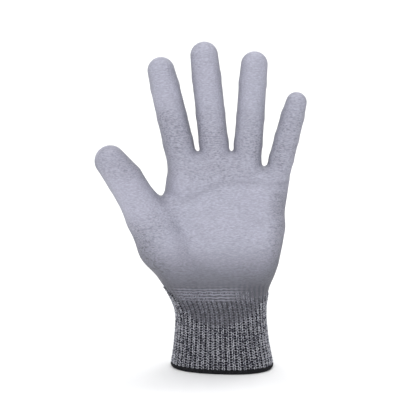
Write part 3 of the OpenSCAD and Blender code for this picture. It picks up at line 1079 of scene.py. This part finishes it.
def stitched(name, kind, points, out, up, size, material, seed, coated):
    """Makes stitches at points with a geometry node tree, and gives them as one plain mesh object."""
    key = "tree_" + kind
    if key not in _made:
        _made[key] = TREES[kind]()
    tree = _made[key]
    mesh = bpy.data.meshes.new(name + "_points")
    mesh.vertices.add(len(points))
    mesh.vertices.foreach_set("co", (np.asarray(points) * MM).astype(np.float32).ravel())
    for label, data in (("face_out", out), ("face_up", up), ("stitch_size", np.asarray(size) * MM)):
        a = mesh.attributes.new(label, "FLOAT_VECTOR", "POINT")
        a.data.foreach_set("vector", np.asarray(data, np.float32).ravel())
    a = mesh.attributes.new("coated", "FLOAT", "POINT")
    a.data.foreach_set("value", np.asarray(coated, np.float32))
    helper = bpy.data.objects.new(name + "_points", mesh)
    bpy.context.scene.collection.objects.link(helper)
    mod = helper.modifiers.new("stitches", "NODES")
    mod.node_group = tree
    sockets = {s.name: s.identifier for s in tree.interface.items_tree if s.in_out == "INPUT"}
    mod[sockets["Seed"]] = seed
    mod[sockets["Material"]] = material
    bpy.context.view_layer.update()
    dg = bpy.context.evaluated_depsgraph_get()
    result = bpy.data.meshes.new_from_object(helper.evaluated_get(dg), preserve_all_data_layers=True,
                                             depsgraph=dg)
    result.name = name
    obj = bpy.data.objects.new(name, result)
    bpy.context.scene.collection.objects.link(obj)
    bpy.data.objects.remove(helper)
    bpy.data.meshes.remove(mesh)
    for label in ("face_out", "face_up", "stitch_size"):
        if label in result.attributes:
            result.attributes.remove(result.attributes[label])
    if not result.materials:
        result.materials.append(material)
    return obj


def back_heights(total, axes):
    """Height of the back of the form over the XZ grid, by the first crossing from behind."""
    inside = total < 0
    flipped = inside[:, ::-1, :]
    hit = flipped.any(1)
    first = total.shape[1] - 1 - flipped.argmax(1)
    i, k = np.meshgrid(np.arange(total.shape[0]), np.arange(total.shape[2]), indexing="ij")
    up = np.minimum(first + 1, total.shape[1] - 1)
    a, b = total[i, first, k], total[i, up, k]
    y = axes[1][first] + (axes[1][1] - axes[1][0]) * np.clip(a / np.where(a - b == 0, 1, a - b), 0, 1)
    return np.where(hit, y, np.nan)


def palm_back_stitches(total, axes, wale, course):
    """Rows of plain stitches over the back of the hand, spaced evenly over the surface from its middle."""
    heights = back_heights(total, axes)
    h = axes[0][1] - axes[0][0]
    fine = np.arange(-98, 58, 0.2)
    rows = []
    for z in np.arange(FIRST_BACK_ROW, LAST_BACK_ROW, course):
        k = (z - axes[2][0]) / h
        k0 = int(k)
        line = heights[:, k0] * (1 - (k - k0)) + heights[:, k0 + 1] * (k - k0)
        y = np.interp(fine, axes[0], np.nan_to_num(line, nan=-60))
        good = np.interp(fine, axes[0], np.isfinite(line).astype(float)) > 0.99
        dy = np.clip(np.diff(y, prepend=y[:1]), -2.5, 2.5)
        arc = np.cumsum(np.hypot(0.2, dy))
        arc -= np.interp(0, fine, arc)
        marks = np.arange(math.ceil(arc[0] / wale), math.floor(arc[-1] / wale)) * wale
        x = np.interp(marks, arc, fine)
        ok = np.interp(x, fine, good.astype(float)) > 0.5
        x = x[ok]
        rows.append(np.stack([x, np.interp(x, fine, y), np.full(len(x), z)], 1))
    p = np.concatenate(rows)
    p = onto_form(p, 3)
    return p, np.tile([0.0, 0, 1], (len(p), 1))


def digit_stitches(g, wale, course):
    """Rows of plain stitches round the back of one digit, following its centre line."""
    r = float(np.mean(g.radii[:-1]))
    count = int(round(TAU * r / wale))
    heights = np.arange(g.first_cut - 14, g.tip_height - 6, course)
    centre, run = g.centre(heights)
    side = np.cross(np.array([0, 1.0, 0]), run)
    side /= np.linalg.norm(side, axis=1, keepdims=True)
    back = np.cross(run, side)
    ang = np.arange(count) * TAU / count
    ang = ang[(np.sin(ang) > -0.35)]
    way = side[:, None] * np.cos(ang)[None, :, None] + back[:, None] * np.sin(ang)[None, :, None]
    lo, hi = np.full(way.shape[:2], 2.0), np.full(way.shape[:2], 22.0)
    for _ in range(14):
        mid = (lo + hi) / 2
        f = field(centre[:, None] + way * mid[..., None])
        lo, hi = np.where(f < 0, mid, lo), np.where(f < 0, hi, mid)
    p = centre[:, None] + way * lo[..., None]
    up = np.repeat(run[:, None], len(ang), 1)
    keep = lo < r * 1.6
    return p[keep], up[keep]


# ---------------------------------------------------------------- operators

class GLOVE_OT_liner(bpy.types.Operator):
    """Makes the knitted liner as one closed wall for each part, the digits divided at their joints"""
    bl_idname = "glove.liner"
    bl_label = "Liner"

    def execute(self, context):
        scene = context.scene
        table, tris, regions, _, _ = glove_form(scene.glove_surface, scene.glove_knit)
        wall = scene.glove_surface.wall / MM
        stuff = materials(scene.glove_colours)
        replaced = {"cuff_and_heel": ("rib_cuff", "heel_liner"), "palm": ("palm_liner", "knuckle_liner")}
        for region in region_list():
            mine = tris[regions == region]
            for name, pick in height_bands(region, table[:, 2][mine].mean(1), LINER_DIVIDE):
                verts, faces, _ = shell(table[:, XYZ], table[:, NRM], mine[pick], 0.0, -wall)
                obj = new_object("liner_" + name, verts, faces, stuff["ground"])
                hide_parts(*replaced.get(name, (name + "_liner",)))
                join_to_bodies(obj, region)
        return {"FINISHED"}


class GLOVE_OT_film(bpy.types.Operator):
    """Makes the film dipped over the palm side, thin along its edges"""
    bl_idname = "glove.film"
    bl_label = "Film"

    def execute(self, context):
        scene = context.scene
        table, tris, regions, _, _ = glove_form(scene.glove_surface, scene.glove_knit)
        film = scene.glove_surface.film / MM
        stuff = materials(scene.glove_colours)
        covered = table[:, COVER][tris].mean(1) > 0
        for region in region_list():
            mine = tris[(regions == region) & covered]
            cover = table[:, COVER]
            outer = 0.04 + film * smoothstep(cover / 2.2) * smoothstep((table[:, 2] - 53) / 11)
            verts, faces, used = shell(table[:, XYZ], table[:, NRM], mine, outer, -0.2)
            p, n = table[used, XYZ], table[used, NRM]
            thin = 0.42 * smoothstep((68 - p[:, 2]) / 7) + 0.58 * smoothstep((57 - p[:, 2]) / 5)
            row_zone = smoothstep((p[:, 2] - 52) / 3) * smoothstep((66 - p[:, 2]) / 5) * \
                smoothstep((p[:, 0] + 42) / 14) * smoothstep((24 - p[:, 0]) / 26)
            # low: darker towards the bottom, partly the dark knit under the thinner film, partly painted shade.
            low = smoothstep((104 - p[:, 2]) / 46)
            # drawn is high where the film is wrinkled, which is also where painted shade darkens it: the thumb
            # and little finger sides, the lower palm and the fingers' lower parts.
            drawn = smoothstep((-36 - p[:, 0]) / 26) * smoothstep((122 - p[:, 2]) / 28) + \
                smoothstep((p[:, 0] - 28) / 18) * smoothstep((146 - p[:, 2]) / 22) + \
                0.5 * smoothstep((94 - p[:, 2]) / 36) + 0.35 * smoothstep((p[:, 2] - 138) / 10) * \
                smoothstep((205 - p[:, 2]) / 25)
            # edge is high on the rims that turn away from the front, for painted shade there.
            edge = smoothstep(1 - side_cover(p, n) / 12)
            attributes = {"thin": thin, "row_zone": row_zone, "drawn": np.clip(drawn, 0, 1),
                          "painted_rim_shade": edge, "rib_phase": table[used, PHASE], "low": low,
                          "fold": fold_shade(p), "rest_height": p[:, 2] * MM}
            attributes = {k: np.concatenate([v, v]) for k, v in attributes.items()}
            name = region_name(region)
            obj = new_object("film_" + name, verts, faces, stuff["film"], attributes)
            if region == 0:
                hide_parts("palm_coating", "wrist_coating")
            else:
                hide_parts(name + "_coating")
            join_to_bodies(obj, region)
        return {"FINISHED"}


class GLOVE_OT_rib_cuff(bpy.types.Operator):
    """Knits the ribs of the cuff, which run on under the film's lower edge"""
    bl_idname = "glove.rib_cuff"
    bl_label = "Rib cuff"

    def execute(self, context):
        scene = context.scene
        knit = scene.glove_knit
        stuff = materials(scene.glove_colours)
        course = knit.rib_course / MM
        levels = np.arange(FIRST_RIB, LAST_RIB, course)
        ring, arc = rib_rings(levels)
        ribs = knit.ribs
        points, ups, widths = [], [], []
        for r, a in zip(ring, arc):
            closed = np.concatenate([r, r[:1]])
            want = (np.arange(ribs) + 0.25) / ribs * a[-1]
            points.append(np.stack([np.interp(want, a, closed[:, i]) for i in range(3)], 1))
            widths.append(np.full(ribs, a[-1] / ribs))
        points = np.array(points)
        ups = np.gradient(points, axis=0)
        points, ups, widths = points.reshape(-1, 3), ups.reshape(-1, 3), np.concatenate(widths)
        ups /= np.linalg.norm(ups, axis=1, keepdims=True)
        points = onto_form(points, 1)
        out = gradient(points)
        cover = film_cover(points, out)
        front_top = (points[:, 2] > 60) & (cover > 0)
        keep = ~front_top
        points, ups, widths, out, cover = (v[keep] for v in (points, ups, widths, out, cover))
        coated = smoothstep((cover + 0.8) / 2.4)
        fade = 1 - 0.6 * smoothstep((points[:, 2] - 48) / 11) * (cover > 0)
        lift = 0.78 - 0.24 * coated
        points = points + out * (lift * fade)[:, None]
        size = np.stack([widths * (0.388 + 0.047 * coated), np.full(len(points), course * 0.94),
                         1.45 * fade * (1 - 0.25 * coated)], 1)
        obj = stitched("rib_stitches", "rib", points, out, ups, size, stuff["yarn"], knit.seed, coated)
        join_to_bodies(obj, 0)
        return {"FINISHED"}


class GLOVE_OT_back_knit(bpy.types.Operator):
    """Knits the plain stitches of the back of the hand, fingers and thumb, outside the film"""
    bl_idname = "glove.back_knit"
    bl_label = "Back knit"

    def execute(self, context):
        scene = context.scene
        knit = scene.glove_knit
        _, _, _, total, axes = glove_form(scene.glove_surface, scene.glove_knit)
        stuff = materials(scene.glove_colours)
        wale, course = knit.wale / MM, knit.course / MM
        groups = {}

        def sort_in(points, ups, only_palm):
            out = gradient(points)
            cover = film_cover(points, out)
            keep = cover < FRAY
            points, ups, out = points[keep], ups[keep], out[keep]
            region = region_of(points, digit_of(points))
            keep = (region == 0) if only_palm else (region > 0)
            for r in np.unique(region[keep]):
                pick = keep & (region == r)
                groups.setdefault(int(r), []).append((points[pick], ups[pick], out[pick]))

        sort_in(*palm_back_stitches(total, axes, wale, course), True)
        for g in DIGITS:
            p, u = digit_stitches(g, wale, course)
            mine = digit_of(p) == DIGITS.index(g)
            sort_in(p[mine], u[mine], False)
        for region, lists in sorted(groups.items()):
            points, ups, out = (np.concatenate([item[i] for item in lists]) for i in range(3))
            pressed = relief(points, out, 0.0)
            points = points + out * (0.28 + pressed)[:, None]
            size = np.tile([wale * 0.60, course * 1.02, 0.85], (len(points), 1))
            for name, pick in height_bands(region, points[:, 2], KNIT_DIVIDE):
                obj = stitched("back_knit_" + name, "plain", points[pick], out[pick], ups[pick], size[pick],
                               stuff["yarn"], knit.seed + region, np.zeros(pick.sum()))
                join_to_bodies(obj, region)
        return {"FINISHED"}


def hem_ring(z, n=208):
    ring, arc = rib_rings([z], n * 2)
    closed = np.concatenate([ring[0], ring[0][:1]])
    want = np.arange(n) / n * arc[0, -1]
    p = np.stack([np.interp(want, arc[0], closed[:, i]) for i in range(3)], 1)
    run = np.roll(p, -1, 0) - np.roll(p, 1, 0)
    run /= np.linalg.norm(run, axis=1, keepdims=True)
    out = np.cross(run, np.array([0, 0, -1.0]))
    middle = p.mean(0)
    if ((p - middle) * out).sum() < 0:
        out = -out
    return p, run, out


class GLOVE_OT_hem(bpy.types.Operator):
    """Makes the black binding: a rounded band round the hem's edge, with the thread wrapped over it"""
    bl_idname = "glove.hem"
    bl_label = "Hem"

    def execute(self, context):
        scene = context.scene
        stuff = materials(scene.glove_colours)
        wall = scene.glove_surface.wall / MM
        p, _, out = hem_ring(2.0)
        mid = -wall / 2
        half_wide, half_high, centre_z = 1.75, 2.1, 2.15
        k = 14
        verts = []
        for i in range(k):
            a = TAU * i / k
            w = half_wide * np.sign(math.cos(a)) * abs(math.cos(a)) ** 0.75
            z = centre_z + half_high * np.sign(math.sin(a)) * abs(math.sin(a)) ** 0.75
            ring = p + out * (mid + w)
            ring[:, 2] = z
            verts.append(ring)
        n = len(p)
        verts = np.concatenate(verts)
        i, j = np.meshgrid(np.arange(k), np.arange(n), indexing="ij")
        a, b = i * n + j, i * n + (j + 1) % n
        c, d = ((i + 1) % k) * n + (j + 1) % n, ((i + 1) % k) * n + j
        faces = np.stack([a, b, c, d], -1).reshape(-1, 4)
        f0 = verts[faces[0]]
        normal = np.cross(f0[1] - f0[0], f0[2] - f0[0])
        if normal @ out[0] < 0:
            faces = faces[:, ::-1]
        band = new_object("hem_band", verts, faces, stuff["hem"])
        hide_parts("hem_binding")
        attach(band, "cuff")
        wraps = scene.glove_knit.hem_wraps
        p, run, out = hem_ring(2.0, wraps)
        up = np.tile([0.0, 0, 1], (wraps, 1)) + run * 0.28
        up /= np.linalg.norm(up, axis=1, keepdims=True)
        at = p + out * mid
        at[:, 2] = centre_z + 0.12
        size = np.tile([1.75, 2.08, 1.86], (wraps, 1))
        obj = stitched("hem_wraps", "wrap", at, out, up, size, stuff["hem"], 3, np.zeros(wraps))
        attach(obj, "cuff")
        return {"FINISHED"}


class GLOVE_OT_elastic(bpy.types.Operator):
    """Lays the elastic threads round the inside of the cuff"""
    bl_idname = "glove.elastic"
    bl_label = "Elastic threads"

    def execute(self, context):
        scene = context.scene
        stuff = materials(scene.glove_colours)
        inset = scene.glove_surface.wall / MM + 0.25
        verts, faces = [], []
        for z in np.linspace(10.4, 37.2, 8):
            p, _, out = hem_ring(z, 120)
            n, k, r = len(p), 6, 0.36
            base = sum(len(v) for v in verts)
            wave = 0.12 * np.sin(np.arange(n) * TAU / n * 26)
            for i in range(k):
                a = TAU * i / k
                ring = p - out * (inset + wave)[:, None] + out * (r * math.cos(a))
                ring = ring + np.array([0, 0, r * math.sin(a)])
                verts.append(ring)
            i, j = np.meshgrid(np.arange(k), np.arange(n), indexing="ij")
            quad = np.stack([i * n + j, i * n + (j + 1) % n, ((i + 1) % k) * n + (j + 1) % n,
                             ((i + 1) % k) * n + j], -1).reshape(-1, 4) + base
            faces.append(quad)
        verts, faces = np.concatenate(verts), np.concatenate(faces)
        f0 = verts[faces[0]]
        if np.cross(f0[1] - f0[0], f0[2] - f0[0]) @ (f0.mean(0) - np.array([0, 0, f0[0][2]])) < 0:
            faces = faces[:, ::-1]
        obj = new_object("elastic_yarn", verts, faces, stuff["elastic"])
        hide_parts("elastic_threads")
        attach(obj, "cuff")
        return {"FINISHED"}


def area_light(name, at, target, size, power, colour=(1, 1, 1)):
    data = bpy.data.lights.new(name, "AREA")
    data.shape, data.size, data.size_y = "RECTANGLE", size[0], size[1]
    data.energy, data.color = power, colour
    obj = bpy.data.objects.new(name, data)
    obj.location = at
    obj.rotation_euler = (Vector(target) - Vector(at)).to_track_quat("-Z", "Y").to_euler()
    bpy.context.scene.collection.objects.link(obj)
    return obj


class GLOVE_OT_stage(bpy.types.Operator):
    """Sets the pale floor and backdrop, soft lights and the camera"""
    bl_idname = "glove.stage"
    bl_label = "Stage"

    def execute(self, context):
        scene = context.scene
        m = Nodes("pale_floor")
        m.finish(m.mix(m.noise(3.0, 2.0), (0.90, 0.90, 0.90), (0.93, 0.93, 0.93)), 0.9, 0.1)
        profile = [(0.4, 0.0), (1.2, 0.0), (2.1, 0.0)]
        profile += [(2.1 + 1.1 * math.sin(a), 1.1 - 1.1 * math.cos(a))
                    for a in np.linspace(0.1, math.pi / 2, 14)]
        profile += [(3.2, 3.4)]
        k = 72
        verts = [(r * math.cos(TAU * i / k), r * math.sin(TAU * i / k), z)
                 for r, z in profile for i in range(k)]
        verts.append((0, 0, 0))
        faces = [(j * k + i, j * k + (i + 1) % k, (j + 1) * k + (i + 1) % k, (j + 1) * k + i)
                 for j in range(len(profile) - 1) for i in range(k)]
        faces += [(len(verts) - 1, (i + 1) % k, i) for i in range(k)]
        mesh = bpy.data.meshes.new("floor")
        mesh.from_pydata(verts, [], faces)
        mesh.materials.append(m.material)
        for poly in mesh.polygons:
            poly.use_smooth = True
        floor = bpy.data.objects.new("floor", mesh)
        scene.collection.objects.link(floor)
        floor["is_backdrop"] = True

        world = bpy.data.worlds.new("soft_room")
        world.use_nodes = True
        world.node_tree.nodes["Background"].inputs["Color"].default_value = (0.96, 0.97, 1.0, 1)
        world.node_tree.nodes["Background"].inputs["Strength"].default_value = 0.42
        scene.world = world
        area_light("key", (-0.40, -1.6, 0.95), (0, 0, 0.13), (0.7, 0.7), 9.6)
        area_light("fill", (0.7, -1.7, 0.7), (0, 0, 0.12), (0.7, 0.7), 1.2)
        area_light("backdrop", (0, 0.9, 2.6), (0, 2.9, 0.5), (3.0, 1.0), 50)
        area_light("front_wall", (0, -0.9, 2.6), (0, -2.9, 0.5), (3.0, 1.0), 7)
        area_light("overhead", (0, -0.1, 2.3), (0, 0, 0), (1.6, 1.6), 15)
        area_light("rear", (0.5, 1.6, 1.2), (0, 0, 0.12), (1.0, 1.0), 4)

        scene.view_settings.view_transform = "Standard"
        cam = bpy.data.cameras.new("camera")
        cam.sensor_fit = "HORIZONTAL"
        cam.sensor_width = 36.0
        obj = bpy.data.objects.new("camera", cam)
        target = Vector((-0.0101, 0, 0.1193))
        at = Vector((-0.0101, -0.9, 0.222))
        obj.location = at
        obj.rotation_euler = (target - at).to_track_quat("-Z", "Y").to_euler()
        span = 0.3098
        cam.lens = cam.sensor_width * (target - at).length / span
        cam.clip_start, cam.clip_end = 0.05, 30
        scene.collection.objects.link(obj)
        scene.camera = obj
        return {"FINISHED"}


class GLOVE_PT_panel(bpy.types.Panel):
    """Lists the glove's settings and the steps that build it"""
    bl_label = "Work glove"
    bl_idname = "GLOVE_PT_panel"
    bl_space_type = "VIEW_3D"
    bl_region_type = "UI"
    bl_category = "Glove"

    def draw(self, context):
        layout = self.layout
        for group in (context.scene.glove_surface, context.scene.glove_knit, context.scene.glove_colours):
            box = layout.box()
            for key in group.__annotations__:
                box.prop(group, key)
        for op in OPERATORS:
            layout.operator(op.bl_idname)


OPERATORS = (GLOVE_OT_liner, GLOVE_OT_film, GLOVE_OT_rib_cuff, GLOVE_OT_back_knit, GLOVE_OT_hem,
             GLOVE_OT_elastic, GLOVE_OT_stage)
CLASSES = (GloveSurface, GloveKnit, GloveColours) + OPERATORS + (GLOVE_PT_panel,)


def register():
    for c in CLASSES:
        bpy.utils.register_class(c)
    bpy.types.Scene.glove_surface = bpy.props.PointerProperty(type=GloveSurface)
    bpy.types.Scene.glove_knit = bpy.props.PointerProperty(type=GloveKnit)
    bpy.types.Scene.glove_colours = bpy.props.PointerProperty(type=GloveColours)


def unregister():
    del bpy.types.Scene.glove_surface, bpy.types.Scene.glove_knit, bpy.types.Scene.glove_colours
    for c in reversed(CLASSES):
        bpy.utils.unregister_class(c)


def main():
    register()
    bpy.ops.glove.liner()
    bpy.ops.glove.film()
    bpy.ops.glove.rib_cuff()
    bpy.ops.glove.back_knit()
    bpy.ops.glove.hem()
    bpy.ops.glove.elastic()
    bpy.ops.glove.stage()
    sizes = {"cad": [list(v) for v in CAD_BOX], "visual": [list(v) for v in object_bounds()]}


if __name__ == "__main__":
    main()
